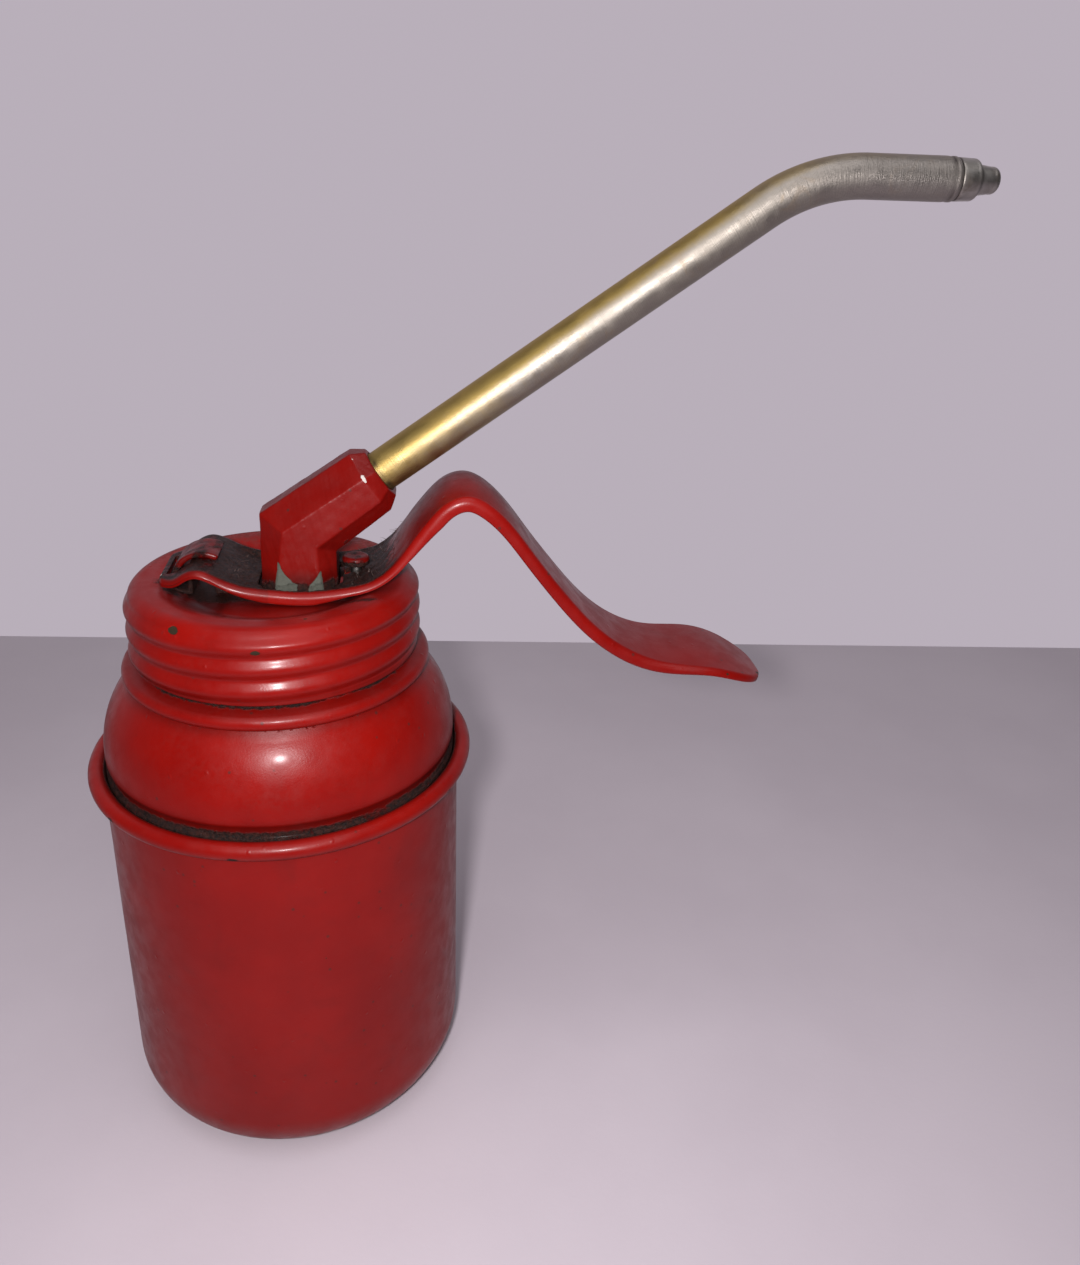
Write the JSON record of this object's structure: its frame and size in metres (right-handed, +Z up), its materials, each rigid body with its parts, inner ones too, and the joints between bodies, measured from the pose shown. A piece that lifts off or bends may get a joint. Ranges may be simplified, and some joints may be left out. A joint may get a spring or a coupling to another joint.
{
  "type": "pump oil can",
  "caption": "Thumb-lever pump oil can: drawn red cup and domed shoulder, screw cap carrying a plunger pump, hooked strip lever and a slanted spout with a turned nozzle.",
  "frame": {"origin": "centre of the flat base", "axes": "+Z up along the can's axis, +X towards the spout and the thumb end of the lever"},
  "size_m": [0.1693, 0.0754, 0.194],
  "materials": {
    "red_enamel": "glossy red enamel on drawn steel, worn and oily",
    "red_casting": "thick glossy red enamel on a zinc casting, chipped",
    "spout_metal": "nickel-plated brass, the plating worn through near the elbow",
    "nozzle_metal": "nickel plate, dulled",
    "pump_brass": "plain turned brass, oily",
    "plain_steel": "plain steel, oily",
    "spring_steel": "oiled spring wire",
    "ball_steel": "polished bearing steel",
    "gasket_cork": "oil-soaked cork composition",
    "cup_leather": "oiled leather",
    "packing_felt": "oil-soaked felt"
  },
  "bodies": {
    "can": {"can_body": "red_enamel", "shoulder": "red_enamel"},
    "gasket_carrier": {"cap_gasket": "gasket_cork"},
    "cap": {"cap": "red_enamel", "hinge_bracket": "red_enamel", "elbow": "red_casting", "spout_tube": "spout_metal", "spout_nozzle": "nozzle_metal", "head_gasket": "gasket_cork", "pump_locknut": "pump_brass", "outlet_seat": "pump_brass", "outlet_spring": "spring_steel", "riser_tube": "pump_brass", "pump_barrel": "pump_brass", "barrel_head": "pump_brass", "rod_packing": "packing_felt", "barrel_nut": "red_enamel", "plunger_spring": "spring_steel", "pump_foot": "pump_brass", "passage_plug": "pump_brass", "ball_stop_pin": "plain_steel", "inlet_seat": "pump_brass", "suction_tube": "pump_brass", "strainer": "pump_brass"},
    "lever": {"lever": "red_enamel"},
    "plunger": {"plunger_rod": "plain_steel", "plunger_button": "red_enamel", "cup_washer": "plain_steel", "plunger_cup": "cup_leather", "plunger_nut": "plain_steel"},
    "inlet_ball": {"inlet_ball": "ball_steel"},
    "outlet_ball": {"outlet_ball": "ball_steel"}
  },
  "joints": [
    {"name": "cap_lift", "type": "slide", "parent": "can", "child": "gasket_carrier", "axis": [0, 0, 1], "range_m": [0, 0.011]},
    {"name": "cap_turn", "type": "hinge", "parent": "gasket_carrier", "child": "cap", "pos_m": [0, 0, 0.11], "axis": [0, 0, 1], "range_deg": [0, 900]},
    {"name": "lever_hinge", "type": "hinge", "parent": "cap", "child": "lever", "pos_m": [-0.0125, 0, 0.116], "axis": [0, -1, 0], "range_deg": [0, 5]},
    {"name": "plunger_slide", "type": "slide", "parent": "cap", "child": "plunger", "axis": [0, 0, 1], "range_m": [0, 0.0026], "deforming": ["plunger_spring"]},
    {"name": "inlet_ball_lift", "type": "slide", "parent": "cap", "child": "inlet_ball", "axis": [0, 0, 1], "range_m": [0, 0.001]},
    {"name": "outlet_ball_lift", "type": "slide", "parent": "cap", "child": "outlet_ball", "axis": [0, 0, 1], "range_m": [0, 0.0012], "deforming": ["outlet_spring"]}
  ],
  "couplings": [
    {"joint": "cap_lift", "follows": "cap_turn", "m_per_rad": 0.00066845},
    {"joint": "plunger_slide", "follows": "lever_hinge", "m_per_rad": 0.028}
  ]
}
